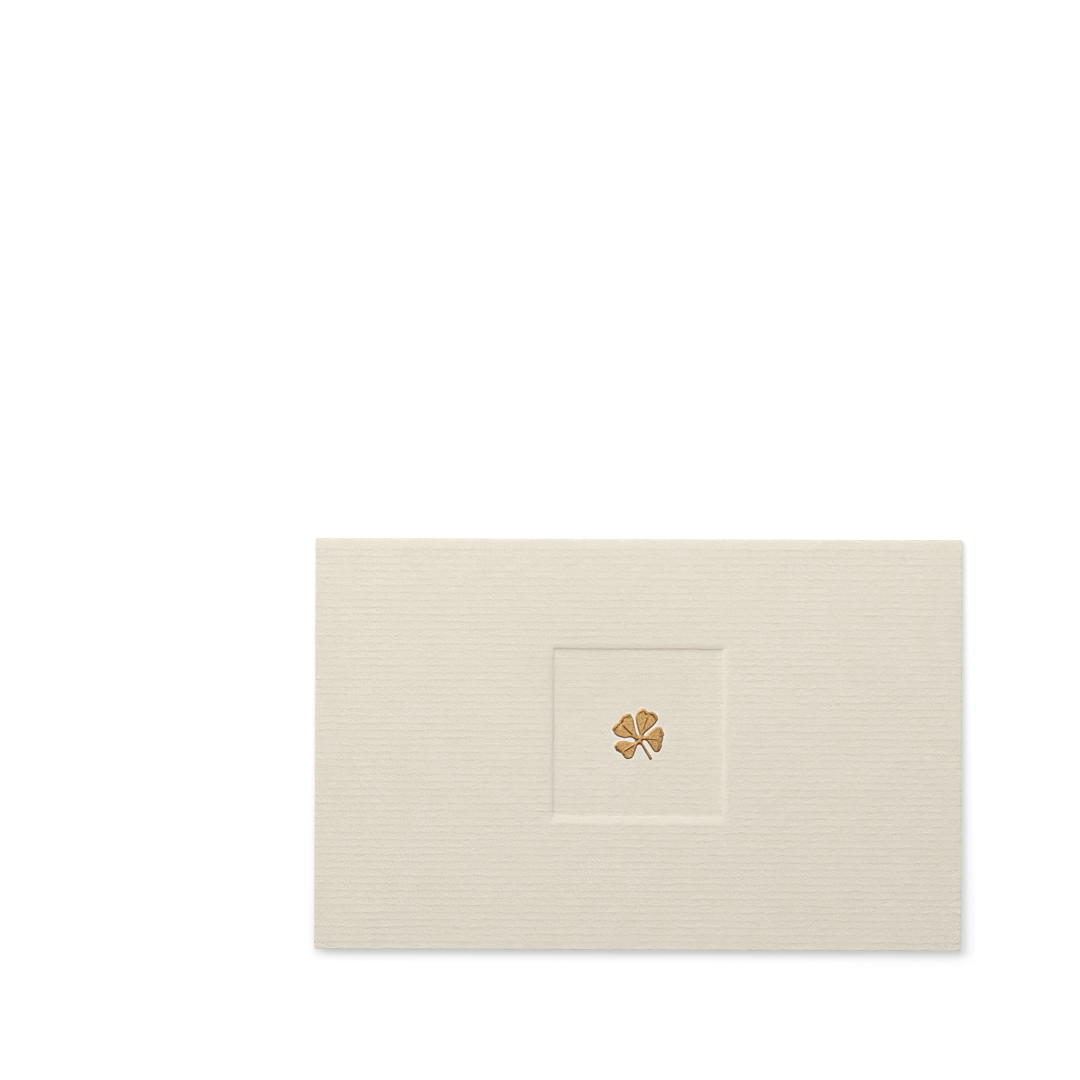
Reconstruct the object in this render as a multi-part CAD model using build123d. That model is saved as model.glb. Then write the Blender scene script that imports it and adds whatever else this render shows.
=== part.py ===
# Greeting card of heavy laid stock, folded once, with a plate-sunk panel and a gold clover.
# Millimetres. The card lies face up: back leaf on the XY plane, fold along +Y, free edges at -Y.
import os
from math import cos, radians, sin

from build123d import *

# Folded sheet
card_width = 165.0  # along the fold
card_height = 105.0  # fold to free edges
stock_thickness = 0.45
fold_inner_radius = 0.30
leaf_opening_deg = 0.8  # the front leaf springs up a little from the back leaf
corner_radius = 0.5

# Laid lines: fine grooves across the front leaf
laid_pitch = 1.85
laid_groove_width = 0.60
laid_groove_depth = 0.04
laid_margin = 1.0  # plain paper at the fold and at the free edge

# Panel sunk into the front leaf by a plate
panel_width = 43.0
panel_height = 42.5
panel_from_fold = 49.7  # fold's outer edge to the panel's middle
panel_depth = 0.34
plate_edge_run = 0.20  # steep wall left by the plate's edge
plate_edge_rise = 0.19
lip_run = 1.50  # from there the paper rolls out gently to the leaf's face
lip_steps = 4  # flats that the roll is made of
show_through = 0.20  # the panel stands out this far on the leaf's inner face

# Gold clover raised on the panel's floor
clover_relief = 0.20
clover_edge_ease = 0.06
hub_right = 0.13  # from the panel's middle
hub_down = 1.75
hub_width = 1.25
hub_height = 2.10
neck_width = 0.90
neck_length = 0.85
lobe_radius = 1.55
notch_radius = 1.00
notch_depth = 0.34
notch_ease = 0.35
midrib_width = 0.26
midrib_height = 0.06  # above the leaflet's face
midrib_foot_gap = 1.40  # plain stretch at the leaflet's foot
midrib_notch_gap = 1.20  # plain stretch below the notch
stalk_width = 0.70
stalk_end_width = 0.88
stalk_length = 5.3
stalk_right = 0.22  # its foot from the hub
stalk_down = 0.52
stalk_bearing = 145.0

# The clover's leaflets: foot right of and above the hub, bearing clockwise from the fold
top_leaflet_length = 7.35
top_leaflet_width = 5.65
top_leaflet_right = 0.26
top_leaflet_up = 0.53
top_leaflet_bearing = 19.0
right_leaflet_length = 5.95
right_leaflet_width = 6.60
right_leaflet_right = 0.36
right_leaflet_up = 0.46
right_leaflet_bearing = 94.5
low_leaflet_length = 5.45
low_leaflet_width = 5.40
low_leaflet_right = -0.22
low_leaflet_up = -0.50
low_leaflet_bearing = 236.5
left_leaflet_length = 6.85
left_leaflet_width = 6.30
left_leaflet_right = -0.26
left_leaflet_up = 0.18
left_leaflet_bearing = 313.5

# The front leaf's outer face, turned up about the bend by the opening
fold_outer_radius = fold_inner_radius + stock_thickness
leaf_length = card_height - fold_outer_radius
opening = radians(leaf_opening_deg)
front_normal = Vector(0, sin(opening), cos(opening))
front_run = Vector(0, -cos(opening), sin(opening))
bend_centre = Vector(0, card_height / 2 - fold_outer_radius, fold_outer_radius)
front_start = bend_centre + front_normal * fold_outer_radius
panel_middle = front_start + front_run * (panel_from_fold - fold_outer_radius)

# Planes with x along the fold and y towards it
panel_plane = Plane(panel_middle, x_dir=(1, 0, 0), z_dir=front_normal)
floor_plane = panel_plane.offset(-panel_depth)
clover_plane = Plane(floor_plane * Pos(hub_right, -hub_down))


def folded_sheet():
    # outer line of back leaf, bend and front leaf, thickened inwards to the stock
    with BuildPart() as sheet:
        with BuildSketch(Plane.YZ):
            with BuildLine():
                back = Line((-card_height / 2, 0), (bend_centre.Y, 0))
                bend = JernArc(back @ 1, back % 1, fold_outer_radius, 180 - leaf_opening_deg)
                PolarLine(bend @ 1, leaf_length, direction=bend % 1)
                offset(amount=stock_thickness, side=Side.LEFT)
            make_face()
        extrude(amount=card_width / 2, both=True)
        cut_corners = sheet.edges().filter_by(
            lambda edge: abs(edge.length - stock_thickness) < stock_thickness / 100
        )
        fillet(cut_corners, corner_radius)
    return sheet.part


def laid_grooves():
    # one shallow V, repeated down the front leaf
    count = int((leaf_length - 2 * laid_margin) / laid_pitch)
    leaf_middle = front_start + front_run * (leaf_length / 2)
    v_top = (laid_groove_width, laid_groove_depth)
    with BuildPart() as grooves:
        with BuildSketch(Plane(leaf_middle, x_dir=front_run, z_dir=(-1, 0, 0))):
            with GridLocations(laid_pitch, laid_pitch, count, 1):
                Polygon((-v_top[0], v_top[1]), (0, -laid_groove_depth), v_top, align=None)
        extrude(amount=card_width, both=True)
    return grooves.part


def panel_frustum(steps):
    # ruled loft through rectangles, each a growth round the panel and a height over the leaf's face
    with BuildPart() as frustum:
        for growth, height in steps:
            with BuildSketch(panel_plane.offset(height)):
                Rectangle(panel_width + 2 * growth, panel_height + 2 * growth)
        loft(ruled=True)
    return frustum.part


def sunk_panel():
    # flat floor, steep plate edge, then a lip that flattens out as it meets the leaf's face
    steps = [(0, -panel_depth)]
    for step in range(lip_steps + 1):
        share = step / lip_steps
        drop = (panel_depth - plate_edge_rise) * (1 - share) ** 2
        steps.append((plate_edge_run + lip_run * share, -drop))
    return panel_frustum(steps)


def panel_back():
    inner_face = -stock_thickness
    lip_growth = plate_edge_run + lip_run
    return panel_frustum([(lip_growth, inner_face), (0, inner_face - show_through)])


def leaflet(length, width):
    # heart shape along y: slim neck, straight flanks out to two round lobes, a notch between them
    with BuildSketch() as heart:
        with Locations((0, neck_length)):
            Circle(neck_width / 2)
        with GridLocations(width - 2 * lobe_radius, 0, 2, 1):
            with Locations((0, length - lobe_radius)):
                Circle(lobe_radius)
        make_hull()
        with Locations((0, length - notch_depth + notch_radius)):
            Circle(notch_radius, mode=Mode.SUBTRACT)
        brink = heart.vertices().group_by(Axis.Y)[-1].sort_by(lambda corner: abs(corner.X))[:2]
        fillet(brink, notch_ease)
        Rectangle(neck_width, neck_length, align=(Align.CENTER, Align.MIN))
    return heart.sketch


def midrib(length):
    run = length - notch_depth - midrib_notch_gap - midrib_foot_gap
    return Pos(0, midrib_foot_gap + run / 2) * SlotOverall(run, midrib_width, rotation=90)


def stalk():
    with BuildSketch() as taper:
        Circle(stalk_width / 2)
        with Locations((0, stalk_length - stalk_end_width / 2)):
            Circle(stalk_end_width / 2)
        make_hull()
    return taper.sketch


def raised(outline):
    # stamped to the clover's relief, with its upper edge eased
    block = extrude(outline, clover_relief)
    return fillet(block.faces().sort_by(Axis.Z)[-1].edges(), clover_edge_ease)


def placed_leaflet(length, width, right, up, bearing):
    rib = Pos(Z=clover_relief) * extrude(midrib(length), midrib_height)
    return Pos(right, up) * Rot(Z=-bearing) * (raised(leaflet(length, width)) + rib)


def gold_clover():
    figure = raised(Ellipse(hub_width / 2, hub_height / 2))
    figure += Pos(stalk_right, -stalk_down) * Rot(Z=-stalk_bearing) * raised(stalk())
    figure += placed_leaflet(
        top_leaflet_length, top_leaflet_width, top_leaflet_right, top_leaflet_up, top_leaflet_bearing
    )
    figure += placed_leaflet(
        right_leaflet_length,
        right_leaflet_width,
        right_leaflet_right,
        right_leaflet_up,
        right_leaflet_bearing,
    )
    figure += placed_leaflet(
        low_leaflet_length, low_leaflet_width, low_leaflet_right, low_leaflet_up, low_leaflet_bearing
    )
    figure += placed_leaflet(
        left_leaflet_length,
        left_leaflet_width,
        left_leaflet_right,
        left_leaflet_up,
        left_leaflet_bearing,
    )
    return clover_plane * figure


card = folded_sheet() - laid_grooves() - sunk_panel() + panel_back()
clover = gold_clover()

os.makedirs("parts", exist_ok=True)
export_step(card, "parts/folded_card.step")
export_step(clover, "parts/gold_clover.step")
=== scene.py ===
import math

import bpy
import numpy as np
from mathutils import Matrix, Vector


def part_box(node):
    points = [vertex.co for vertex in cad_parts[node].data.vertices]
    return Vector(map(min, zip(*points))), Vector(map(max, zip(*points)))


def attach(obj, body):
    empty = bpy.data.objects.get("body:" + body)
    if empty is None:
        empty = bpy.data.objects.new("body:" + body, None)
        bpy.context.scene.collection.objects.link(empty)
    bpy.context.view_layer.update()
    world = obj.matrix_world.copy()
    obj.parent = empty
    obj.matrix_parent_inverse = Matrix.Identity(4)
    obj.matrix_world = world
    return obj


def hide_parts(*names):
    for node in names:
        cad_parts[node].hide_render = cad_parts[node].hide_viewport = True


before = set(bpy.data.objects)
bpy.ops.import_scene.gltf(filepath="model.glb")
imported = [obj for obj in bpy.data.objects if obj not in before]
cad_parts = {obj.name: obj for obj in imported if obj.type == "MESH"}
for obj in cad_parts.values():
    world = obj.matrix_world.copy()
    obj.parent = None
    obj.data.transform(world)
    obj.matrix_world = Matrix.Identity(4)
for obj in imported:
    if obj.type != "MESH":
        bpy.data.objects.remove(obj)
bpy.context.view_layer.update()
mm = 0.001
print("frame loaded:", sorted(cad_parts))


# Shader maths: an expression on sockets adds its Math nodes
class Socket:
    def __init__(self, finish, socket):
        self.finish = finish
        self.socket = socket

    def math(self, operation, first, second=0.0):
        return self.finish.add("ShaderNodeMath", {"operation": operation}, {0: first, 1: second})

    def __add__(self, other):
        return self.math("ADD", self, other)

    def __radd__(self, other):
        return self.math("ADD", other, self)

    def __sub__(self, other):
        return self.math("SUBTRACT", self, other)

    def __rsub__(self, other):
        return self.math("SUBTRACT", other, self)

    def __mul__(self, other):
        return self.math("MULTIPLY", self, other)

    def __rmul__(self, other):
        return self.math("MULTIPLY", other, self)

    def __pow__(self, power):
        return self.math("POWER", self, power)

    def clip(self):
        return self.finish.add("ShaderNodeClamp", {}, {"Value": self})

    def fraction(self):
        return self.math("FRACT", self)

    def least(self, other):
        return self.math("MINIMUM", self, other)

    def most(self, other):
        return self.math("MAXIMUM", self, other)


class Finish:
    def __init__(self, tree):
        self.tree = tree
        tree.nodes.clear()

    # one way in for every node: type, settings, then values or links of its sockets
    def add(self, kind, settings, sockets, output=0):
        node = self.tree.nodes.new(kind)
        for name, value in settings.items():
            setattr(node, name, value)
        for name, value in sockets.items():
            if isinstance(value, Socket):
                self.tree.links.new(value.socket, node.inputs[name])
            else:
                node.inputs[name].default_value = value
        return Socket(self, node.outputs[output]) if len(node.outputs) else node

    def noise(self, place, scale, detail, roughness):
        sockets = {"Vector": place, "Scale": scale, "Detail": detail, "Roughness": roughness}
        return self.add("ShaderNodeTexNoise", {"noise_dimensions": "3D"}, sockets)

    def blendColour(self, share, first, second):
        return self.add("ShaderNodeMix", {"data_type": "RGBA"}, {0: share, 6: first, 7: second}, output=2)

    def vertexValue(self, name):
        return self.add("ShaderNodeAttribute", {"attribute_name": name}, {}, output=2)

    def millimetres(self):
        place = self.add("ShaderNodeTexCoord", {}, {}, output=3)
        return self.add("ShaderNodeVectorMath", {"operation": "SCALE"}, {0: place, "Scale": 1 / mm})

    def seenByEye(self):
        # 1 on rays from the camera, also by way of a gloss or through something clear
        rays = ("Is Camera Ray", "Is Glossy Ray", "Is Transmission Ray")
        direct, glossy, clear = [self.add("ShaderNodeLightPath", {}, {}, output=ray) for ray in rays]
        return (direct + glossy + clear).clip()


def grey(level):
    return (level, level, level, 1.0)


def linear(red, green, blue):
    # screen colour 0..255 to the linear colour that shaders take
    parts = [channel / 255 for channel in (red, green, blue)]
    return tuple(p / 12.92 if p < 0.04045 else ((p + 0.055) / 1.055) ** 2.4 for p in parts) + (1.0,)


def ease(share):
    # smooth step from 0 to 1
    share = np.clip(share, 0, 1)
    return share * share * (3 - 2 * share)


def softNoise(across, along, seed):
    # smooth random field from -1 to 1, its bumps about one unit apart
    size = 256
    lattice = np.random.default_rng(seed).uniform(-1, 1, (size, size))
    column, row = np.floor(across).astype(int), np.floor(along).astype(int)
    shareX, shareY = ease(across - column), ease(along - row)

    def corner(stepX, stepY):
        return lattice[(column + stepX) % size, (row + stepY) % size]

    near = corner(0, 0) * (1 - shareX) + corner(1, 0) * shareX
    far = corner(0, 1) * (1 - shareX) + corner(1, 1) * shareX
    return near * (1 - shareY) + far * shareY


# Folded sheet, in millimetres
sheet = {
    "stock": 0.45,
    "bendInside": 0.30,
    "opening": math.radians(0.8),  # the front leaf springs up by this
    "cornerRadius": 0.5,
    "cornerShare": 0.6,  # a step inside the radius, as a share of it
    "edgeEase": 0.03,  # the guillotine presses the brink down a little
    "edgeRun": 0.12,
    "edgeStep": 0.05,
    "sharp": math.radians(50),  # edges that turn by more than this stay crisp
    "columnStep": 0.95,
    "columnRoom": 0.3,  # columns and rows give way to a fixed one that is nearer than these
    "rowRoom": 0.07,
    "backColumnStep": 3.0,
    "backRowRoom": 0.2,
    "backStart": 0.4,  # the back leaf has no row nearer to the bend
    "innerStep": 5.0,
    "innerRoom": 0.5,
    "bendRows": 18,
    "rollRun": 1.8,  # the front leaf rolls over towards the fold
    "rollDrop": 0.22,
}
sheetLow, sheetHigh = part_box("folded_card")
sheetWidth = (sheetHigh.x - sheetLow.x) / mm
sheetHeight = (sheetHigh.y - sheetLow.y) / mm
bendOutside = sheet["bendInside"] + sheet["stock"]
bendCentre = (sheetHigh.y / mm - bendOutside, bendOutside)
bendLength = math.pi * (bendOutside - sheet["stock"] / 2)
leafLength = sheetHeight - bendOutside

# Laid lines: low ridges that rise slowly down the page and drop off at a crease
laid = {
    "pitch": 1.853,
    "height": 0.038,
    "section": [(0.0, 0.40), (0.05, 0.08), (0.18, 0.0), (0.45, 0.10), (0.72, 0.42), (0.92, 1.0)],
    "strength": 0.9,
    "strengthShift": 0.05,  # in pitches, of the place where the next ridge's strength takes over
    "longFade": (11, 0.4),  # length along the line and swing, for the strength of a ridge
    "shortFade": (2.6, 0.5),
    "strengthEnds": (0.05, 1.7),
    "longWave": (6.0, 0.16),  # the same for the wander of a crease
    "shortWave": (2.0, 0.09),
    "straightRun": 1.5,  # less wander this near to the fold and the free edge
    "plainRun": 1.2,  # the ridges set in over this from the fold
    "backPhases": (0.05, 0.92),
    "backShift": 400,  # the back leaf takes another stretch of the pattern
    "backFade": 1.0,
    "chainStep": 27.4,  # faint upright lines where the ridges break off
    "chainStart": -3.2,
    "chainWidth": 1.0,
    "chainBreak": 0.6,
    "tooth": 0.010,
    "toothSize": 1.3,
    "toothStretch": 1.4,
    "seed": 41,
}
laidCount = int(leafLength / laid["pitch"])
laidStart = leafLength - laid["pitch"] * laidCount

# Panel pressed into the front leaf by a plate
panel = {
    "width": 43.0,
    "height": 42.5,
    "fromFold": 49.7,
    "depth": 0.34,
    # how the paper climbs out on each side: run and rise of the floor's foot and of the steep wall,
    # run and roundness of the lip, share of the ridges left on it and its painted highlight, given on the
    # sides that face the light
    "top": ((1.3, 0.05), (0.30, 0.17), (1.0, 1.1), 0.7, 0.0),
    "foot": ((0.8, 0.05), (0.30, 0.10), (1.6, 1.0), 0.1, 0.17),
    "left": ((1.0, 0.06), (0.35, 0.14), (1.0, 1.4), 0.7, 0.0),
    "right": ((1.2, 0.10), (0.30, 0.10), (1.1, 1.6), 0.1, 0.08),
    "footCurve": 2.5,  # the higher, the later the floor turns up
    "lipSteps": (0.10, 0.20, 0.30, 0.45, 0.65, 0.90, 1.20, 1.50, 1.80, 2.10),
    "lipFade": 0.3,  # what the lip does to the paper sets in over this
    "ridgeGap": 1.0,  # the ridges are whole again this far outside the lip
    "ridgeFade": 1.4,
    "showThrough": 0.20,
    "laidLeft": 0.80,  # share of the ridges that the plate leaves
    "calm": 1.0,  # the lines run straight this near to the plate's edge
    "ring": 0.3,
    "wobble": (2.4, 0.10),  # length and swing of the plate's upper and lower edges
    "scored": 0.9,  # how dark the painted shade is along the upper edge, the side turned from the light, where the plate bit in
    "scoredBand": ((-0.10, 0.15), (0.50, 0.20)),  # where that starts and ends, each with its run
    "paintedShadeEnds": 0.3,  # and how far it runs on past the corners
    "paintedDim": (-8.0, 28.0, 14.0, 0.18),  # painted shade round it, where a warped leaf would turn from the light: right of the middle, width, height, share
    "fineStep": 0.20,
    "coarseStep": 0.60,
    "fineReach": 7.6,  # from the clover's hub
    "floorRoom": 0.1,
}
panelMiddle = panel["fromFold"] - bendOutside  # down the front leaf, from the bend


def sheetPoint(x, run, lift):
    # run: below 0 down the front leaf, then round the bend, then down the back leaf
    opening = sheet["opening"]
    turn = opening + (math.pi - opening) * np.clip(run / bendLength, 0, 1)
    normalY, normalZ = np.sin(turn), np.cos(turn)
    down = np.where(run < 0, -run, np.maximum(run - bendLength, 0))
    slope = np.where(run < 0, math.sin(opening), 0.0)
    level = np.where(run < 0, math.cos(opening), 1.0)
    y = bendCentre[0] + normalY * (bendOutside + lift) - down * level
    z = bendCentre[1] + normalZ * (bendOutside + lift) + down * slope
    return np.stack([x, y, z], axis=-1) * mm


def panelSides(x, down):
    # how far a point of the front leaf lies outside each side of the plate
    halfX, halfDown = panel["width"] / 2, panel["height"] / 2
    fromMiddle = down - panelMiddle
    return {
        "top": -fromMiddle - halfDown,
        "foot": fromMiddle - halfDown,
        "left": -x - halfX,
        "right": x - halfX,
    }


def panelGrowth(x, down):
    return np.maximum.reduce(list(panelSides(x, down).values()))


def panelDrop(x, down):
    # lift of the sunk panel, share of the ridges left, the painted highlight on its lit lips, and the
    # painted shade along its upper edge and round it
    drop = np.full(np.shape(x), -panel["depth"])
    growths = panelSides(x, down)
    inside = panelGrowth(x, down) < 0
    kept = np.where(inside, panel["laidLeft"], 1.0)
    litLipSheen = np.zeros(np.shape(x))
    for side, growth in growths.items():
        (footRun, footRise), (wallRun, wallRise), (lipRun, roundness), lipKept, lipSheen = panel[side]
        foot = -panel["depth"] + footRise * np.clip(1 + growth / footRun, 0, 1) ** panel["footCurve"]
        wall = footRise - panel["depth"] + wallRise * np.clip(growth / wallRun, 0, 1)
        lipDrop = footRise + wallRise - panel["depth"]
        lip = lipDrop * (1 - np.clip((growth - wallRun) / lipRun, 0, 1)) ** roundness
        drop = np.maximum(drop, np.where(growth < 0, foot, np.where(growth < wallRun, wall, lip)))
        others = np.maximum.reduce([growths[other] for other in growths if other != side])
        lipEnd = wallRun + lipRun
        ridgeEnd = lipEnd + panel["ridgeGap"]
        started = ease(growth / panel["lipFade"])
        onLip = started * ease((lipEnd - growth) / panel["lipFade"] + 0.5) * (others < lipEnd)
        plain = started * ease((ridgeEnd - growth) / panel["ridgeFade"]) * (others < ridgeEnd)
        kept = np.minimum(kept, 1 - (1 - lipKept) * plain)
        # painted highlight: the lips on the foot and right sides, which face the light, are made paler
        litLipSheen = np.maximum(litLipSheen, lipSheen * onLip)
    # painted shade: a brown band down the upper wall, which faces away from the light, and a wide dim patch
    # round the panel's upper left
    (bandStart, startRun), (bandEnd, endRun) = panel["scoredBand"]
    scored = ease((growths["top"] - bandStart) / startRun) * ease((bandEnd - growths["top"]) / endRun)
    beside = np.maximum(growths["left"], growths["right"])
    scored = scored * (beside < panel["paintedShadeEnds"]) * panel["scored"]
    dimRight, dimWidth, dimHeight, dimShare = panel["paintedDim"]
    paintedDim = dimShare * np.exp(-(((x - dimRight) / dimWidth) ** 2) - (growths["top"] / dimHeight) ** 2)
    scored = scored + paintedDim * (1 - scored)
    return drop, kept, litLipSheen, scored


def laidRidge(x, down):
    # height of the laid lines, how far each wanders along the leaf, and which line it is
    line = (down - laidStart) / laid["pitch"]
    phase = line - np.floor(line)
    phases, heights = zip(*laid["section"], (1.0, laid["section"][0][1]))
    nearest = np.round(line + laid["strengthShift"])
    seed = laid["seed"]
    longFade, longShare = laid["longFade"]
    shortFade, shortShare = laid["shortFade"]
    strength = laid["strength"] + longShare * softNoise(x / longFade, nearest, seed)
    strength = strength + shortShare * softNoise(x / shortFade, nearest, seed + 1)
    chain = (x - laid["chainStart"]) / laid["chainStep"]
    fromChain = (chain - np.round(chain)) * laid["chainStep"]
    broken = laid["chainBreak"] * np.exp(-((fromChain / laid["chainWidth"]) ** 2))
    strength = np.clip(strength, *laid["strengthEnds"]) * (1 - broken)
    longLength, longSwing = laid["longWave"]
    shortLength, shortSwing = laid["shortWave"]
    wander = longSwing * softNoise(x / longLength, line, seed + 2)
    wander += shortSwing * softNoise(x / shortLength, line, seed + 3)
    return np.interp(phase, phases, heights) * strength * laid["height"], wander, line


def frontLeaf(x, down):
    # run and lift of points on the front leaf's face, the laid line they are on, how far the paper is
    # pressed smooth round the clover together with the painted highlight on the panel's lit lips, how far it
    # is ridged, and its painted shade
    growth = panelGrowth(x, down)
    ridge, wander, line = laidRidge(x, down)
    offPlate = ease(np.abs(growth) / panel["calm"])
    straightRun = laid["straightRun"]
    free = offPlate * ease((leafLength - down) / straightRun) * ease(down / straightRun)
    drop, kept, litLipSheen, scored = panelDrop(x, down)
    toothSize = laid["toothSize"]
    tooth = softNoise(x / toothSize, down / toothSize * laid["toothStretch"], laid["seed"] + 4)
    roll = sheet["rollDrop"] * (1 - np.clip(down / sheet["rollRun"], 0, 1)) ** 2
    ridge = (ridge - laid["height"] / 2) * kept * ease(down / laid["plainRun"])
    lift = drop + ridge + laid["tooth"] * tooth - roll
    calm = cloverCalm(x, down)
    lift = lift * (1 - calm) + calm * -panel["depth"]
    wobbleLength, wobbleSwing = panel["wobble"]
    wobble = wobbleSwing * softNoise(x / wobbleLength, down / wobbleLength, laid["seed"] + 6)
    shift = wander * free + wobble * (1 - offPlate)
    down = np.where(down > 0, down + shift, down)
    return -down, lift, line, np.maximum(litLipSheen, calm), kept, scored


# Gold clover stamped on the panel, in millimetres from its hub: right, and up towards the fold
clover = {
    "hubRight": 0.13,
    "hubDown": 1.75,
    "reach": 9,  # the clover and the paper pressed round it are within this of the hub
    "spread": 0.13,  # the stamping swells past its drawn outline by this
    "hub": ((0.22, -0.44), (0.38, 0.40), 0.46),  # two ends and a radius
    "stalk": ((0.44, -0.50), (3.08, -4.72), 0.19, 0.28),
    "ragged": (0.45, 0.11),  # size and swing of the tips' uneven edge
    "tip": (0.70, 0.16),  # where a leaflet's tip sets in and over what run, as shares of its length
    "blend": 0.60,  # rounding of the valleys where the leaflets join
    "pressedAndLitSheen": (0.05, 0.50),  # the die smooths the paper this far out, and fades over this; the same value carries the painted highlight on the panel's lit lips
    "grid": (-7.6, 8.2),
    "gridStep": 0.075,
    "slides": 3,  # how often a border vertex moves towards the outline, and by what share of the way
    "slideShare": 0.9,
    "leastSlope": 0.3,  # of the inside distance, where leaflets meet and it is nearly flat
    "leeStart": 0.35,  # how far round the sides the lee reaches
    "brinkRun": (0.45, 0.25),  # on the lit side and in the lee
    "brinkCurve": 0.8,
    "brinkHeight": 0.19,
    "leeShadeWidth": 0.50,  # of the painted shade along the lee
    "fieldDrop": 0.075,  # the leaflet's field lies this far under its rim
    "fieldShares": (0.45, 0.75),  # share of that drop on the blade, and what the tip adds
    "fieldStart": (0.22, 0.14),  # as the tip
    "rimWidth": 0.36,
    "rimFall": (0.34, 0.20),  # slope from the rim into the field, and how much shorter at the tip
    "rimSwing": (0.35, 0.25),  # how far crinkle and jag vary the rolled tip
    "crinkle": (0.55, 2.2, 0.035),  # folds in a tip: size across and along, height
    "jag": (0.27, 0.5, 0.02),
    "crinkleRun": 0.4,  # from the brink, for both
    "groove": (0.10, 0.15, 0.045),  # crease inside the rolled tip, darkened by painted shade: place, width, depth
    "grooveSwing": (1.3, 0.5, 1.5),  # its plain share, and those of crinkle and jag
    "ribWidth": 0.12,
    "ribHeight": 0.11,
    "ribFade": 0.3,
    "ribShade": (0.20, 0.16, 0.03),  # dip beside a rib on the side away from the light, with painted shade in it: how far from it, width, depth
    "pebble": (0.22, 0.006, 0.3),  # fine bumps: size, height, run from the brink
    "underside": -0.006,
    "seed": 90,
    "seedStep": 7,
}
# each leaflet: foot, bearing clockwise from up, then points along and across it, clockwise side positive
leaflets = {
    "top": {
        "foot": (0.26, 0.53),
        "bearing": 19.0,
        "rib": (2.3, 5.6),
        "shade": 0.8,
        "tipRim": (0.60, 1.0),  # width of the rolled tip and depth of the crease inside it
        "outline": [
            (0.0, -0.10), (0.75, -0.20), (2.21, -1.25), (4.30, -2.49), (5.40, -2.72), (6.30, -2.50),
            (7.05, -1.90), (7.15, -1.30), (6.95, -0.60), (6.88, 0.30), (7.25, 0.80), (7.10, 1.75),
            (6.40, 2.50), (5.60, 2.70), (4.13, 2.24), (2.98, 1.55), (1.13, 0.58), (0.0, 0.60),
        ],
    },
    "right": {
        "foot": (0.42, 0.48),
        "bearing": 94.5,
        "rib": (1.3, 4.5),
        "shade": 1.0,
        "tipRim": (0.50, 0.6),
        "outline": [
            (0.0, -0.35), (1.34, -0.53), (2.12, -1.39), (3.01, -2.31), (3.70, -2.89), (4.32, -3.16),
            (5.43, -2.50), (5.90, -1.26), (5.74, -0.61), (5.53, 0.79), (5.50, 1.64), (5.01, 2.90),
            (4.40, 3.21), (3.74, 2.95), (2.68, 1.65), (1.52, 0.46), (0.0, 0.35),
        ],
    },
    "low": {
        "foot": (-0.32, -0.64),
        "bearing": 236.5,
        "rib": (1.2, 4.0),
        "shade": -1.5,
        "tipRim": (0.34, 0.35),
        "outline": [
            (0.0, -0.40), (0.76, -0.77), (2.02, -1.71), (3.40, -2.45), (4.52, -2.03), (4.75, -1.43),
            (4.85, -0.22), (5.11, 0.34), (5.50, 1.10), (5.40, 2.30), (4.15, 2.75), (2.53, 1.93),
            (1.09, 0.47), (0.0, 0.35),
        ],
    },
    "left": {
        "foot": (-0.32, 0.21),
        "bearing": 314.5,
        "rib": (1.6, 5.1),
        "shade": -1.5,
        "tipRim": (0.62, 1.3),
        "outline": [
            (0.0, -0.35), (1.17, -0.63), (1.85, -1.15), (2.64, -2.15), (4.45, -3.03), (5.98, -2.76),
            (6.53, -1.67), (6.29, -0.09), (6.55, 0.39), (6.65, 1.63), (6.08, 2.94), (5.44, 3.12),
            (4.13, 2.62), (2.53, 1.52), (0.86, 0.64), (0.0, 0.35),
        ],
    },
}


def smoothLoop(points, steps=8):
    # closed rounded line through the points
    points = np.array(points, float)
    before, after, beyond = np.roll(points, 1, 0), np.roll(points, -1, 0), np.roll(points, -2, 0)
    share = np.linspace(0, 1, steps, endpoint=False)[None, :, None]
    p0, p1, p2, p3 = (p[:, None, :] for p in (before, points, after, beyond))
    line = 2 * p1 + (p2 - p0) * share + (2 * p0 - 5 * p1 + 4 * p2 - p3) * share**2
    return ((line + (3 * p1 - p0 - 3 * p2 + p3) * share**3) / 2).reshape(-1, 2)


def insideLoop(right, up, loop):
    # distance to a closed line, positive inside it
    nearest = np.full(right.shape, 1e9)
    inside = np.zeros(right.shape, bool)
    for (x0, y0), (x1, y1) in zip(loop, np.roll(loop, -1, 0)):
        spanX, spanY = x1 - x0, y1 - y0
        share = ((right - x0) * spanX + (up - y0) * spanY) / (spanX**2 + spanY**2 + 1e-12)
        share = np.clip(share, 0, 1)
        gap = np.hypot(right - x0 - share * spanX, up - y0 - share * spanY)
        nearest = np.minimum(nearest, gap)
        if y0 != y1:
            crosses = (y0 > up) != (y1 > up)
            inside ^= crosses & (right < spanX * (up - y0) / spanY + x0)
    return np.where(inside, nearest, -nearest)


def insideTaper(right, up, start, end, startRadius, endRadius):
    # a rod with round ends, positive inside it
    spanX, spanY = end[0] - start[0], end[1] - start[1]
    share = np.clip(((right - start[0]) * spanX + (up - start[1]) * spanY) / (spanX**2 + spanY**2), 0, 1)
    gap = np.hypot(right - start[0] - share * spanX, up - start[1] - share * spanY)
    return startRadius + (endRadius - startRadius) * share - gap


def joinSoft(first, second):
    # union of two inside distances, with the valley between them rounded
    reach = clover["blend"]
    overlap = np.maximum(reach - np.abs(first - second), 0) / reach
    return np.maximum(first, second) + overlap**2 * reach / 4


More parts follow.
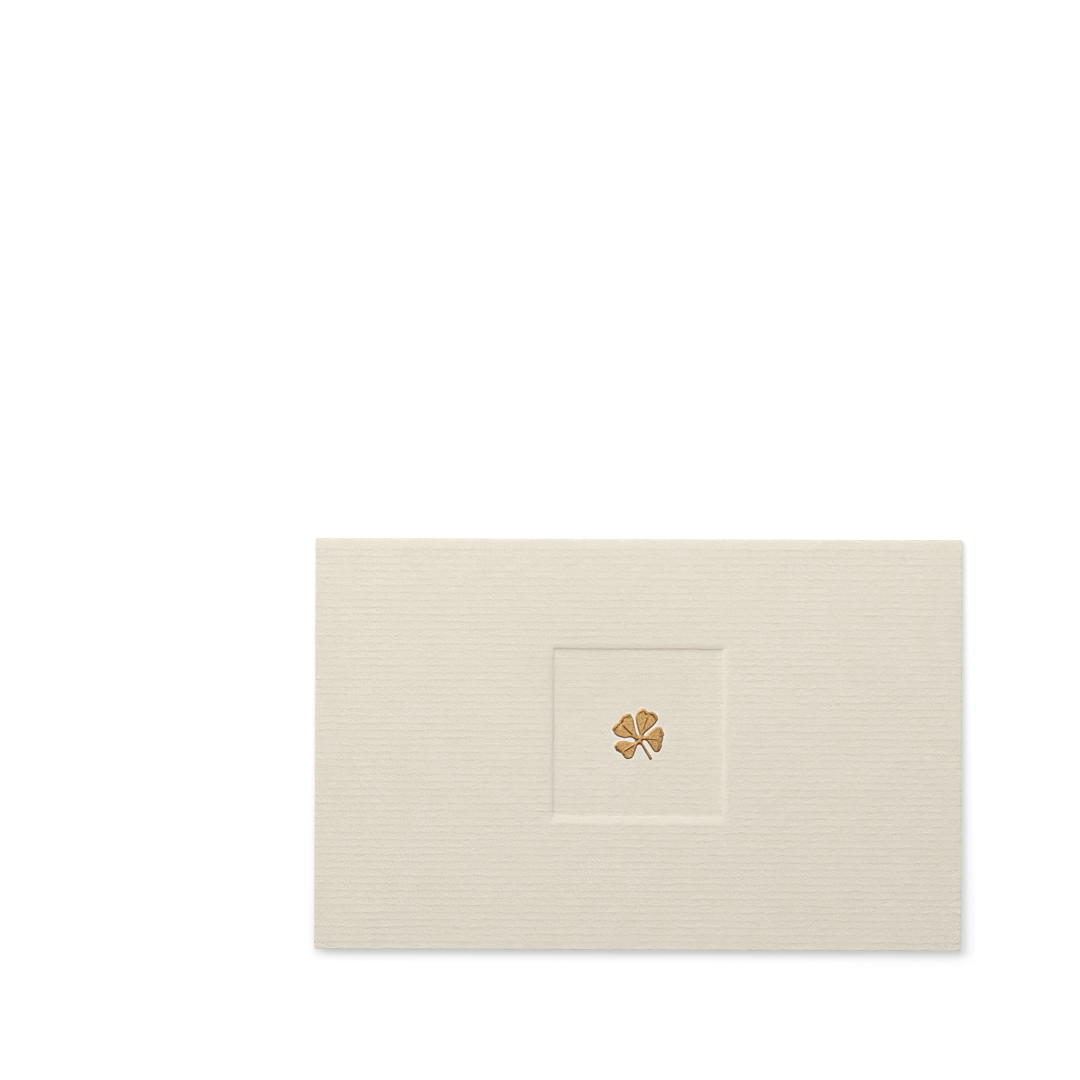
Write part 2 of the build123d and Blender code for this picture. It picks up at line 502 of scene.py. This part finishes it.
def leafletFrame(leaflet, right, up):
    # along and across a leaflet, for points measured from the hub
    bearing = math.radians(leaflet["bearing"])
    fromRight, fromUp = right - leaflet["foot"][0], up - leaflet["foot"][1]
    along = fromRight * math.sin(bearing) + fromUp * math.cos(bearing)
    across = fromRight * math.cos(bearing) - fromUp * math.sin(bearing)
    return along, across


def setsIn(leaflet, along, span):
    # 0 to 1 along a leaflet, from one share of its length and over another
    start, run = span
    length = max(point[0] for point in leaflet["outline"])
    return ease((along / length - start) / run)


def cloverInside(right, up):
    # inside distance of the whole clover, and of each leaflet by itself
    hubStart, hubEnd, hubRadius = clover["hub"]
    whole = insideTaper(right, up, hubStart, hubEnd, hubRadius, hubRadius)
    whole = joinSoft(whole, insideTaper(right, up, *clover["stalk"]))
    each = {}
    raggedSize, raggedSwing = clover["ragged"]
    for name, leaflet in leaflets.items():
        along, across = leafletFrame(leaflet, right, up)
        ragged = raggedSwing * softNoise(right / raggedSize, up / raggedSize, clover["seed"] + 40)
        each[name] = insideLoop(along, across, smoothLoop(leaflet["outline"]))
        each[name] += clover["spread"] + ragged * setsIn(leaflet, along, clover["tip"])
        whole = joinSoft(whole, each[name] - clover["spread"])
    return whole + clover["spread"], each


def cloverCalm(x, down):
    # 1 where the die has pressed the paper smooth under and around the clover
    right = x - clover["hubRight"]
    up = panelMiddle + clover["hubDown"] - down
    calm = np.zeros(np.shape(x))
    close = (np.abs(right) < clover["reach"]) & (np.abs(up) < clover["reach"])
    if close.any():
        pressedOut, pressedFade = clover["pressedAndLitSheen"]
        whole = cloverInside(right[close], up[close])[0]
        calm[close] = ease(1 + (whole + pressedOut) / pressedFade)
    return calm


def gridQuads(index, keep):
    # the kept squares of a grid of vertices
    corners = [index[:-1, :-1], index[:-1, 1:], index[1:, 1:], index[1:, :-1]]
    return np.stack([corner[keep] for corner in corners], axis=-1)


# Mesh of the folded sheet
class SheetMesh:
    def __init__(self):
        self.points, self.faces, self.count = [], [], 0
        self.values = {"line": [], "pressedAndLitSheen": [], "ridged": [], "scored": []}

    def grid(self, x, run, lift, line, pressedAndLitSheen=0.0, ridged=1.0, scored=0.0, skip=None, outward=True):
        # one patch of vertices, joined into quads apart from a block that is left open
        rows, columns = x.shape
        index = np.arange(self.count, self.count + rows * columns).reshape(rows, columns)
        self.points.append(sheetPoint(x.ravel(), run.ravel(), lift.ravel()))
        given = {"line": line, "pressedAndLitSheen": pressedAndLitSheen, "ridged": ridged, "scored": scored}
        for name, value in given.items():
            self.values[name].append(np.broadcast_to(value, x.shape).ravel())
        self.count += rows * columns
        keep = np.ones((rows - 1, columns - 1), bool)
        if skip:
            keep[skip[0] : skip[1], skip[2] : skip[3]] = False
        quads = gridQuads(index, keep)
        self.faces.extend((quads if outward else quads[:, ::-1]).tolist())
        return index

    def zip(self, first, second, firstAt, secondAt):
        # triangles between two lines of vertices that have different spacing
        one = two = 0
        while one < len(first) - 1 or two < len(second) - 1:
            nextOne = firstAt[one + 1] if one < len(first) - 1 else math.inf
            nextTwo = secondAt[two + 1] if two < len(second) - 1 else math.inf
            if nextOne <= nextTwo:
                self.faces.append([int(first[one]), int(first[one + 1]), int(second[two])])
                one += 1
            else:
                self.faces.append([int(first[one]), int(second[two + 1]), int(second[two])])
                two += 1


def spaced(start, end, step):
    return np.linspace(start, end, max(2, int(round(abs(end - start) / step)) + 1))


def merged(base, fixed, room):
    # a rising list of places in which the fixed ones push out those that come too near
    fixed = np.array(fixed)
    kept = [b for b in base if np.min(np.abs(fixed - b)) > room]
    return np.array(sorted(kept + list(fixed)))


def roundCorners(x, down, length):
    # pulls the corners of a leaf's grid in to its corner radius
    radius = sheet["cornerRadius"]
    overX, overDown = np.abs(x) - (sheetWidth / 2 - radius), down - (length - radius)
    corner = (overX > 0) & (overDown > 0)
    reach = np.hypot(overX, overDown)
    scale = np.where(corner, np.maximum(overX, overDown) / np.where(reach > 0, reach, 1), 1.0)
    x = np.where(corner, np.sign(x) * (sheetWidth / 2 - radius + overX * scale), x)
    return x, np.where(corner, length - radius + overDown * scale, down)


def brink(x, down):
    # the guillotined edges dip a little
    gap = np.minimum(sheetWidth / 2 - np.abs(x), leafLength - down)
    return -sheet["edgeEase"] * (1 - np.clip(gap / sheet["edgeRun"], 0, 1)) ** 2


def cornerSteps(length):
    # places that the rounded corners and the eased edges need
    radius = sheet["cornerRadius"]
    gaps = (radius, sheet["cornerShare"] * radius, sheet["edgeRun"], sheet["edgeStep"], 0)
    return [length - gap for gap in gaps]


def mirrored(steps):
    return [sign * step for sign in (-1, 1) for step in steps]


def nearestTo(places, place):
    return int(np.argmin(np.abs(places - place)))


def laidRows(phases, start):
    # places down a leaf at these phases of each laid line
    lines = range(-1, laidCount + 1)
    rows = [laidStart + laid["pitch"] * (line + phase) for line in lines for phase in phases]
    return [row for row in rows if start < row < leafLength]


def makeSheet():
    mesh = SheetMesh()
    half, ring = sheetWidth / 2, panel["ring"]
    panelHalf, panelHalfDown = panel["width"] / 2, panel["height"] / 2
    growths = [-ring, 0.0, *panel["lipSteps"]]
    fixedColumns = mirrored([panelHalf + growth for growth in growths] + cornerSteps(half))
    columns = merged(spaced(-half, half, sheet["columnStep"]), fixedColumns, sheet["columnRoom"])
    ridgeRows = laidRows([phase for phase, _ in laid["section"][1:]], 0)
    plateRows = [panelMiddle + step for step in mirrored([panelHalfDown + growth for growth in growths])]
    rows = merged(ridgeRows, plateRows + cornerSteps(leafLength) + [0.0], sheet["rowRoom"])
    upRows = rows[::-1]

    # front leaf with the panel left open, from the free edge up to the bend
    x, down = np.meshgrid(columns, upRows)
    run, lift, line, pressedAndLitSheen, ridged, scored = frontLeaf(x, down)
    lift = lift + brink(x, down)
    x, down = roundCorners(x, -run, leafLength)
    openX, openDown = panelHalf - ring, panelHalfDown - ring
    lowRow, highRow = [nearestTo(upRows, panelMiddle + sign * openDown) for sign in (1, -1)]
    leftColumn, rightColumn = [nearestTo(columns, sign * openX) for sign in (-1, 1)]
    openBlock = (lowRow, highRow, leftColumn, rightColumn)
    front = mesh.grid(x, -down, lift, line, pressedAndLitSheen, ridged, scored, skip=openBlock)

    # panel floor, finest round the clover
    halfX, halfDown = panelHalf - 2 * ring, panelHalfDown - 2 * ring
    fine, reach, room = panel["fineStep"], panel["fineReach"], panel["floorRoom"]

    def floorSteps(low, high, middle, outside):
        inner = spaced(middle - reach, middle + reach, fine)
        outer = [place for place in outside if low + room < place < high - room]
        outer = [place for place in outer if abs(place - middle) > reach + room]
        return np.array(sorted([low, high, *inner, *outer]))

    floorX = floorSteps(-halfX, halfX, clover["hubRight"], spaced(-halfX, halfX, panel["coarseStep"]))
    floorTop, floorFoot = panelMiddle - halfDown, panelMiddle + halfDown
    floorDown = floorSteps(floorTop, floorFoot, panelMiddle + clover["hubDown"], ridgeRows)[::-1]
    x, down = np.meshgrid(floorX, floorDown)
    floor = mesh.grid(x, *frontLeaf(x, down))
    openRows, openColumns = slice(lowRow, highRow + 1), slice(leftColumn, rightColumn + 1)
    frontX, frontRun = columns[openColumns], -upRows[openRows]
    mesh.zip(front[lowRow, openColumns], floor[0], frontX, floorX)
    mesh.zip(floor[-1], front[highRow, openColumns], floorX, frontX)
    mesh.zip(floor[:, 0], front[openRows, leftColumn], -floorDown, frontRun)
    mesh.zip(front[openRows, rightColumn], floor[:, -1], frontRun, -floorDown)

    # bend, in the front leaf's columns
    bendRun = np.linspace(0, bendLength, sheet["bendRows"] + 1)[1:]
    x, run = np.meshgrid(columns, bendRun)
    lift = laid["tooth"] * softNoise(x / laid["toothSize"], run / laid["toothSize"], laid["seed"] + 5)
    upper = ease(2 - 2 * run / bendLength)
    lift = (lift - sheet["rollDrop"]) * upper + brink(x, np.zeros(x.shape))
    bend = mesh.grid(x, run, lift, line=0.0, ridged=0.0)
    mesh.zip(front[-1], bend[0], columns, columns)

    # back leaf, whose ridges are pressed up into the stock so that it lies flat
    sideColumns = mirrored(cornerSteps(half))
    backColumns = merged(spaced(-half, half, sheet["backColumnStep"]), sideColumns, sheet["columnRoom"])
    backRows = laidRows(laid["backPhases"], sheet["backStart"])
    backRows = merged(backRows, cornerSteps(leafLength), sheet["backRowRoom"])
    x, down = np.meshgrid(backColumns, backRows)
    ridge, _, line = laidRidge(x + laid["backShift"], down)
    x, down = roundCorners(x, down, leafLength)
    dip = np.minimum(ridge, laid["height"]) - laid["height"]
    dip = dip * ease((leafLength - down) / laid["backFade"])
    back = mesh.grid(x, bendLength + down, dip + brink(x, down), line)
    mesh.zip(bend[-1], back[0], columns, backColumns)

    # inner faces, plain apart from the panel's show-through
    lipEnd = panel["lipSteps"][-1]
    proudColumns = mirrored([panelHalf, panelHalf + lipEnd])
    innerX = merged(spaced(-half, half, sheet["innerStep"]), proudColumns + sideColumns, sheet["innerRoom"])
    proudRows = [panelMiddle + step for step in mirrored([panelHalfDown, panelHalfDown + lipEnd])]
    fixedRows = proudRows + cornerSteps(leafLength) + [0.0]
    leafRows = merged(spaced(0, leafLength, sheet["innerStep"]), fixedRows, sheet["innerRoom"])
    innerRun = np.concatenate([-leafRows[::-1], bendRun, bendLength + leafRows[1:]])
    x, run = np.meshgrid(innerX, innerRun)
    growth = panelGrowth(x, -run)
    shown = np.where(run < 0, 1 - np.clip(growth / lipEnd, 0, 1), 0.0)
    lift = -sheet["stock"] - panel["showThrough"] * shown
    beyond = np.where(run < 0, -run, np.maximum(run - bendLength, 0))
    x, beyond = roundCorners(x, beyond, leafLength)
    run = np.where(run < 0, -beyond, np.where(run > bendLength, bendLength + beyond, run))
    inner = mesh.grid(x, run, lift, line=beyond / laid["pitch"], outward=False)

    # cut edges between the outer and inner faces
    outerRun = np.concatenate([-upRows, bendRun, bendLength + backRows])
    left = np.concatenate([front[:, 0], bend[:, 0], back[:, 0]])
    right = np.concatenate([front[:, -1], bend[:, -1], back[:, -1]])
    mesh.zip(inner[0], front[0], innerX, columns)
    mesh.zip(back[-1], inner[-1], backColumns, innerX)
    mesh.zip(left, inner[:, 0], outerRun, innerRun)
    mesh.zip(inner[:, -1], right, innerRun, outerRun)
    return mesh


def meshObject(name, points, faces, values):
    # a smooth-shaded object with one value per vertex for each named attribute
    mesh = bpy.data.meshes.new(name)
    mesh.from_pydata(points.tolist(), [], faces)
    for attribute, numbers in values.items():
        layer = mesh.attributes.new(attribute, "FLOAT", "POINT")
        layer.data.foreach_set("value", np.asarray(numbers, np.float32))
    mesh.polygons.foreach_set("use_smooth", [True] * len(mesh.polygons))
    mesh.validate()
    mesh.update()
    piece = bpy.data.objects.new(name, mesh)
    bpy.context.scene.collection.objects.link(piece)
    return piece


sheetMesh = makeSheet()
sheetValues = {name: np.concatenate(parts) for name, parts in sheetMesh.values.items()}
cardSheet = meshObject("cardSheet", np.concatenate(sheetMesh.points), sheetMesh.faces, sheetValues)
cardSheet.data.set_sharp_from_angle(angle=sheet["sharp"])
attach(cardSheet, "root")
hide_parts("folded_card")
print("folded sheet:", sum(len(face) - 2 for face in sheetMesh.faces), "triangles")


def cloverHeight(right, up, whole, each, lee):
    # stamped relief: steep brink, rolled rims that crinkle at the tips, sunk fields and raised midribs, and
    # where painted shade goes in creases and beside ribs
    litRun, leeRun = clover["brinkRun"]
    rise = ease(whole / (litRun + (leeRun - litRun) * lee))
    height = clover["brinkHeight"] * rise ** clover["brinkCurve"]
    crinkleAcross, crinkleAlong, crinkleHeight = clover["crinkle"]
    jagAcross, jagAlong, jagHeight = clover["jag"]
    rimCrinkle, rimJag = clover["rimSwing"]
    bladeFall, tipFall = clover["rimFall"]
    bladeDrop, tipDrop = clover["fieldShares"]
    groovePlace, grooveWidth, grooveDepth = clover["groove"]
    groovePlain, grooveCrinkle, grooveJag = clover["grooveSwing"]
    shadePlace, shadeWidth, shadeDepth = clover["ribShade"]
    fade = clover["ribFade"]
    hollowShade = np.zeros(right.shape)
    seed = clover["seed"]
    for name, leaflet in leaflets.items():
        along, across = leafletFrame(leaflet, right, up)
        inLeaf = each[name]
        within = inLeaf > 0
        crinkle = softNoise(across / crinkleAcross + seed, along / crinkleAlong, seed)
        jag = softNoise(across / jagAcross + seed, along / jagAlong, seed + 1)
        tip = setsIn(leaflet, along, clover["tip"])
        tipRim, crease = leaflet["tipRim"]
        tipRim = tipRim * (1 + rimCrinkle * crinkle + rimJag * jag)
        rim = clover["rimWidth"] + (tipRim - clover["rimWidth"]) * tip
        inField = ease((inLeaf - rim) / (bladeFall - tipFall * tip))
        inField = inField * setsIn(leaflet, along, clover["fieldStart"])
        height -= clover["fieldDrop"] * (bladeDrop + tipDrop * tip) * inField
        groove = tip * np.exp(-(((inLeaf - rim - groovePlace) / grooveWidth) ** 2)) * crease
        groove = np.maximum(groove * (groovePlain + grooveCrinkle * crinkle + grooveJag * jag), 0)
        height -= grooveDepth * groove
        ribStart, ribEnd = leaflet["rib"]
        ribSpan = ease((along - ribStart + fade) / (2 * fade)) * ease((ribEnd + fade - along) / (2 * fade))
        ribSpan = ribSpan * within
        height += clover["ribHeight"] * np.exp(-((across / clover["ribWidth"]) ** 2)) * ribSpan
        shadeGap = across * np.sign(leaflet["shade"]) - shadePlace
        ribShade = np.exp(-((shadeGap / shadeWidth) ** 2)) * ribSpan * abs(leaflet["shade"])
        height -= shadeDepth * ribShade
        folds = crinkleHeight * crinkle + jagHeight * jag
        height += folds * tip * ease(inLeaf / clover["crinkleRun"]) * within
        # painted shade in the tip creases and on the dark side of each rib
        hollowShade = np.maximum(hollowShade, np.maximum(groove * within, ribShade))
        seed += clover["seedStep"]
    pebbleSize, pebbleHeight, pebbleRun = clover["pebble"]
    pebble = pebbleHeight * softNoise(right / pebbleSize, up / pebbleSize, seed)
    height += pebble * ease(whole / pebbleRun)
    return height, hollowShade


def makeClover():
    step, leastSlope = clover["gridStep"], clover["leastSlope"]
    places = np.arange(*clover["grid"], step)
    right, up = np.meshgrid(places, places)
    whole = cloverInside(right, up)[0]
    middle = (whole[:-1, :-1] + whole[1:, :-1] + whole[:-1, 1:] + whole[1:, 1:]) / 4
    keep = middle > 0
    used = np.zeros(whole.shape, int)
    for stepUp, stepRight in ((0, 0), (0, 1), (1, 0), (1, 1)):
        used[stepUp : stepUp + keep.shape[0], stepRight : stepRight + keep.shape[1]] += keep
    border = (used > 0) & (used < 4)

    # vertices on the border slide on to the clover's outline
    gapUp, gapRight = np.gradient(whole, step)
    slope = np.maximum(np.hypot(gapUp, gapRight), leastSlope)
    for _ in range(clover["slides"]):
        value = cloverInside(right[border], up[border])[0]
        right[border] -= (value * gapRight[border] / slope[border] ** 2) * clover["slideShare"]
        up[border] -= (value * gapUp[border] / slope[border] ** 2) * clover["slideShare"]
    shown = used > 0
    whole, each = cloverInside(right[shown], up[shown])
    # the struck edge is steep on its lower side, where painted shade darkens it, and rolls off on the upper
    gapUp, gapRight = np.gradient(cloverInside(right, up)[0], step)
    facing = gapUp[shown] / np.maximum(np.hypot(gapUp, gapRight)[shown], leastSlope)
    lee = ease(clover["leeStart"] + facing)
    height, hollowShade = cloverHeight(right[shown], up[shown], np.maximum(whole, 0), each, lee)
    index = np.full(used.shape, -1)
    index[shown] = np.arange(shown.sum())
    quads = gridQuads(index, keep)
    total = len(height)

    # top, underside and the low wall between them
    faces = quads.tolist() + (quads[:, ::-1] + total).tolist()
    edges = {(a, b) for quad in quads.tolist() for a, b in zip(quad, quad[1:] + quad[:1])}
    faces += [[b, a, a + total, b + total] for a, b in edges if (b, a) not in edges]
    down = panelMiddle + clover["hubDown"] - np.tile(up[shown], 2)
    across = np.tile(right[shown], 2) + clover["hubRight"]
    lift = np.concatenate([height, np.full(total, clover["underside"])]) - panel["depth"]
    points = sheetPoint(across, -down, lift)
    # painted shade on the brink's lee side, the lower side turned from the light
    leeShadeValue = np.tile(ease(2 * (1 - np.maximum(whole, 0) / clover["leeShadeWidth"])) * lee, 2)
    return meshObject("goldClover", points, faces, {"hollowShade": np.tile(hollowShade, 2), "brink": leeShadeValue})


goldClover = makeClover()
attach(goldClover, "root")
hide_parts("gold_clover")
print("gold clover:", sum(len(face.vertices) - 2 for face in goldClover.data.polygons), "triangles")

# Finishes. A noise is given by its bumps to the millimetre, detail and roughness
creamStock = {
    "paper": linear(229, 223, 209),
    "shade": linear(223, 216, 199),
    # pale paper where the die pressed round the clover, also used as the painted highlight on the panel's
    # lit lips
    "pressedAndLitSheen": linear(246, 242, 233),
    # brown painted shade for the panel's upper edge
    "scored": linear(214, 201, 181),
    "fleck": linear(188, 172, 147),
    "cloud": (0.16, 3.0, 0.55),
    "fibre": (1.1, 4.0, 0.65),
    "grain": (2.3, 3.0, 0.7),
    "waver": (0.8, 3.0, 0.6),
    "broken": (0.45, 2.0, 0.5),
    "mottle": (0.6, 0.7, 0.15),  # shares of cloud and fibre, less the last
    "pressedAndSheenShare": 0.75,
    "fleckCell": 11.0,  # millimetres, with one fleck in a few of the cells
    "fleckRadius": 0.15,
    "fleckless": 0.86,  # share of the cells with none
    "fleckEdge": 12,
    "roughness": 0.82,
    "roughnessSwing": (0.2, 0.1),  # with the grain, and down where the paper is pressed
    "specular": 0.25,
    "grainDepth": 0.27,  # millimetres, as the crest
    "grainFibre": 0.5,
    "grainPressed": 0.7,  # share of the grain that the plate takes away
    "crest": 0.034,  # sharp brink of each ridge just above its crease
    "crestEnd": 0.90,
    "crestCurve": 3,
    "crestWaver": 0.30,  # in laid lines
    "crestBreak": (2.6, 0.5),
}
goldStamping = {
    "gold": linear(217, 179, 117),
    "deep": linear(148, 101, 52),
    # dark brown painted shade for creases, rib sides and the lee of the brink
    "paintedShadeBrown": linear(104, 46, 12),
    "grain": (2.5, 3.0, 0.65),
    "patch": (0.9, 2.0, 0.5),
    "worn": (3.0, 0.5, 1.4),  # shares of grain and patch, less the last
    "roughness": 0.53,
    "roughnessSwing": 0.2,
    "metallic": 0.80,
    "grainDepth": 0.06 * mm,
}


def finishCreamStock():
    material = bpy.data.materials.new("creamStock")
    material.use_nodes = True
    paper = Finish(material.node_tree)
    place = paper.millimetres()
    cloud = paper.noise(place, *creamStock["cloud"])
    fibre = paper.noise(place, *creamStock["fibre"])
    grain = paper.noise(place, *creamStock["grain"])
    pressedAndLitSheen = paper.vertexValue("pressedAndLitSheen")
    cloudShare, fibreShare, mottleLess = creamStock["mottle"]
    mottle = (cloud * cloudShare + fibre * fibreShare - mottleLess).clip()
    colour = paper.blendColour(mottle, creamStock["paper"], creamStock["shade"])
    # paler where the die pressed round the clover, and a painted highlight on the panel's lit lips
    pressedAndSheen = (pressedAndLitSheen * creamStock["pressedAndSheenShare"]).clip()
    colour = paper.blendColour(pressedAndSheen, colour, creamStock["pressedAndLitSheen"])
    # painted shade along the panel's upper edge and round it
    colour = paper.blendColour(paper.vertexValue("scored"), colour, creamStock["scored"])
    # a few dark fibres in the pulp, which the grain makes uneven
    cell = {"Vector": place, "Scale": 1 / creamStock["fleckCell"]}
    flat = {"voronoi_dimensions": "2D"}
    fleckEdge = creamStock["fleckEdge"]
    gap = paper.add("ShaderNodeTexVoronoi", flat, cell) * creamStock["fleckCell"]
    cellColour = paper.add("ShaderNodeTexVoronoi", flat, cell, output=1)
    chance = paper.add("ShaderNodeSeparateColor", {}, {0: cellColour})
    fleck = ((creamStock["fleckRadius"] * 2 * grain - gap) * fleckEdge).clip()
    fleck = fleck * ((chance - creamStock["fleckless"]) * fleckEdge).clip()
    colour = paper.blendColour(fleck, colour, creamStock["fleck"])
    grainSwing, pressedSwing = creamStock["roughnessSwing"]
    roughness = creamStock["roughness"] + (grain - 0.5) * grainSwing - pressedAndLitSheen * pressedSwing
    # each laid line wavers and breaks on a smaller scale than the mesh carries
    waver = paper.noise(place, *creamStock["waver"])
    broken = paper.noise(place, *creamStock["broken"])
    phase = (paper.vertexValue("line") + (waver - 0.5) * creamStock["crestWaver"]).fraction()
    end = creamStock["crestEnd"]
    crestShape = ((phase * (1 / end)) ** creamStock["crestCurve"]).least((1 - phase) * (1 / (1 - end)))
    breakGain, breakLess = creamStock["crestBreak"]
    strength = (broken * breakGain - breakLess).clip() * paper.vertexValue("ridged")
    tooth = grain - 0.5 + (fibre - 0.5) * creamStock["grainFibre"]
    tooth = tooth * (1 - pressedAndLitSheen * creamStock["grainPressed"]) * creamStock["grainDepth"]
    tooth = tooth + crestShape * strength * creamStock["crest"]
    bump = paper.add("ShaderNodeBump", {}, {"Strength": 1.0, "Distance": mm, "Height": tooth})
    shader = paper.add(
        "ShaderNodeBsdfPrincipled",
        {},
        {
            "Base Color": colour,
            "Roughness": roughness,
            "Specular IOR Level": creamStock["specular"],
            "Normal": bump,
        },
    )
    paper.add("ShaderNodeOutputMaterial", {}, {"Surface": shader})
    return material


def finishGoldStamping():
    material = bpy.data.materials.new("goldStamping")
    material.use_nodes = True
    gold = Finish(material.node_tree)
    place = gold.millimetres()
    grain = gold.noise(place, *goldStamping["grain"])
    patch = gold.noise(place, *goldStamping["patch"])
    hollowShade = gold.vertexValue("hollowShade")
    leeShadeShare = gold.vertexValue("brink")
    grainShare, patchShare, wornLess = goldStamping["worn"]
    worn = (grain * grainShare + patch * patchShare - wornLess).clip()
    colour = gold.blendColour(worn, goldStamping["gold"], goldStamping["deep"])
    # painted shade: creases, the dark side of each rib and the brink's lee turn dark brown
    colour = gold.blendColour((hollowShade + leeShadeShare).clip(), colour, goldStamping["paintedShadeBrown"])
    roughness = goldStamping["roughness"] + grain * goldStamping["roughnessSwing"]
    relief = {"Strength": 1.0, "Distance": goldStamping["grainDepth"], "Height": grain}
    bump = gold.add("ShaderNodeBump", {}, relief)
    shader = gold.add(
        "ShaderNodeBsdfPrincipled",
        {},
        {"Base Color": colour, "Metallic": goldStamping["metallic"], "Roughness": roughness, "Normal": bump},
    )
    gold.add("ShaderNodeOutputMaterial", {}, {"Surface": shader})
    return material


cardSheet.data.materials.append(finishCreamStock())
goldClover.data.materials.append(finishGoldStamping())
print("finishes: cream stock, gold stamping")

# Table under the card, white to the eye but with the card's own shadow on it
table = {
    "half": 4.0,
    "drop": 0.02 * mm,
    "albedo": grey(0.42),
    "lift": 0.605,  # glow that the eye sees near the card
    "corner": 0.74,  # share of it left where the card shuts the room out
    "reach": 6.5 * mm,
    "samples": 8,  # for how open each place is
    "plain": (4, 25),  # the glow goes to full white between these, in millimetres outside the card
}


def makeTable():
    half = table["half"]
    low = -table["drop"]
    corners = np.array([(-half, -half, low), (half, -half, low), (half, half, low), (-half, half, low)])
    top = meshObject("tableTop", corners, [[0, 1, 2, 3]], {})
    material = bpy.data.materials.new("whiteTable")
    material.use_nodes = True
    white = Finish(material.node_tree)
    shows = white.seenByEye()
    diffuse = white.add("ShaderNodeBsdfDiffuse", {}, {"Color": table["albedo"]})
    # the glow dims where the card's edge shuts the room out
    sampled, reach = {"samples": table["samples"]}, {"Distance": table["reach"]}
    openness = white.add("ShaderNodeAmbientOcclusion", sampled, reach, output=1)
    shut, lit = grey(table["lift"] * table["corner"]), grey(table["lift"])
    tint = white.blendColour(openness, shut, lit)
    # and is full white away from the card, where the lamps fall off
    nearEnd, farStart = table["plain"]
    fromMiddle = white.add("ShaderNodeVectorMath", {"operation": "ABSOLUTE"}, {0: white.millimetres()})
    cardHalf = (sheetWidth / 2, sheetHeight / 2, 0)
    outside = white.add("ShaderNodeVectorMath", {"operation": "SUBTRACT"}, {0: fromMiddle, 1: cardHalf})
    right, up = [white.add("ShaderNodeSeparateXYZ", {}, {0: outside}, output=axis) for axis in (0, 1)]
    away = ((right.most(up) - nearEnd) * (1 / (farStart - nearEnd))).clip()
    tint = white.blendColour(away, tint, grey(1.0))
    glow = white.add("ShaderNodeEmission", {}, {"Color": tint, "Strength": 1.0})
    lifted = white.add("ShaderNodeAddShader", {}, {0: diffuse, 1: glow})
    both = white.add("ShaderNodeMixShader", {}, {0: shows, 1: diffuse, 2: lifted})
    white.add("ShaderNodeOutputMaterial", {}, {"Surface": both})
    top.data.materials.append(material)


makeTable()

# Camera straight above, framed as the card lies in the picture
camera = {
    "height": 1.2,
    "field": 0.2754,  # width of the card's plane that the picture takes in
    "right": -25.23 * mm,
    "up": 51.95 * mm,
    "turn": math.radians(0.21),
    "sensor": 36.0,
    "clip": (0.01, 50),
}


def makeCamera():
    data = bpy.data.cameras.new("camera")
    data.sensor_width = camera["sensor"]
    data.lens = camera["sensor"] * camera["height"] / camera["field"]
    data.clip_start, data.clip_end = camera["clip"]
    eye = bpy.data.objects.new("camera", data)
    eye.location = (camera["right"], camera["up"], camera["height"] + sheetHigh.z)
    eye.rotation_euler = (0, 0, camera["turn"])
    bpy.context.scene.collection.objects.link(eye)
    bpy.context.scene.camera = eye


makeCamera()

# Light: a soft lamp far off at the upper left, a nearer one above the fold,
# and a dim room, darkest at the foot
lamps = {
    "farLamp": {
        "bearing": -55,
        "elevation": 45,
        "distance": 3.6,
        "size": 2.1,
        "level": 0.485,
        "colour": (1.0, 0.985, 0.935),
    },
    "nearLamp": {
        "bearing": -5,
        "elevation": 60,
        "distance": 0.48,
        "size": 0.37,
        "level": 0.466,
        "colour": (0.985, 1.0, 1.08),
    },
}
room = {
    "bearing": math.radians(-24),
    "rise": 0.4,  # the brightest side lies this far above level
    "high": 0.242,
    "low": 0.118,
    "backdrop": (0.30, 0.15),  # the white backdrop fades out between these heights
}


def makeLamp(name, lamp):
    # level: brightness that the lamp by itself gives white paper under it
    bearing, elevation = math.radians(lamp["bearing"]), math.radians(lamp["elevation"])
    data = bpy.data.lights.new(name, "AREA")
    data.shape = "DISK"
    data.size = lamp["size"]
    data.color = lamp["colour"]
    data.energy = lamp["level"] * (math.pi * lamp["distance"]) ** 2 / math.sin(elevation)
    head = bpy.data.objects.new(name, data)
    flat = lamp["distance"] * math.cos(elevation)
    height = lamp["distance"] * math.sin(elevation)
    head.location = (flat * math.sin(bearing), flat * math.cos(bearing), height)
    head.rotation_euler = head.location.to_track_quat("Z", "Y").to_euler()
    bpy.context.scene.collection.objects.link(head)


def makeRoom():
    world = bpy.data.worlds.new("room")
    bpy.context.scene.world = world
    world.use_nodes = True
    air = Finish(world.node_tree)
    direction = air.add("ShaderNodeTexCoord", {}, {}, output=0)
    towards = (math.sin(room["bearing"]), math.cos(room["bearing"]), room["rise"])
    dot = {"operation": "DOT_PRODUCT"}
    facing = air.add("ShaderNodeVectorMath", dot, {0: direction, 1: towards}, output=1)
    share = (facing * 0.5 + 0.5).clip()
    around = air.blendColour(share, grey(room["low"]), grey(room["high"]))
    # white backdrop all round, for the eye and in reflections
    height = air.add("ShaderNodeSeparateXYZ", {}, {0: direction}, output=2)
    clear, full = room["backdrop"]
    behind = ((clear - height) * (1 / (clear - full))).clip() * air.seenByEye()
    colour = air.blendColour(behind, around, grey(1.0))
    sky = air.add("ShaderNodeBackground", {}, {"Color": colour, "Strength": 1.0})
    air.add("ShaderNodeOutputWorld", {}, {"Surface": sky})


for lampName, lampValues in lamps.items():
    makeLamp(lampName, lampValues)
makeRoom()
bpy.context.scene.view_settings.view_transform = "Standard"
print("table, camera and light are set")
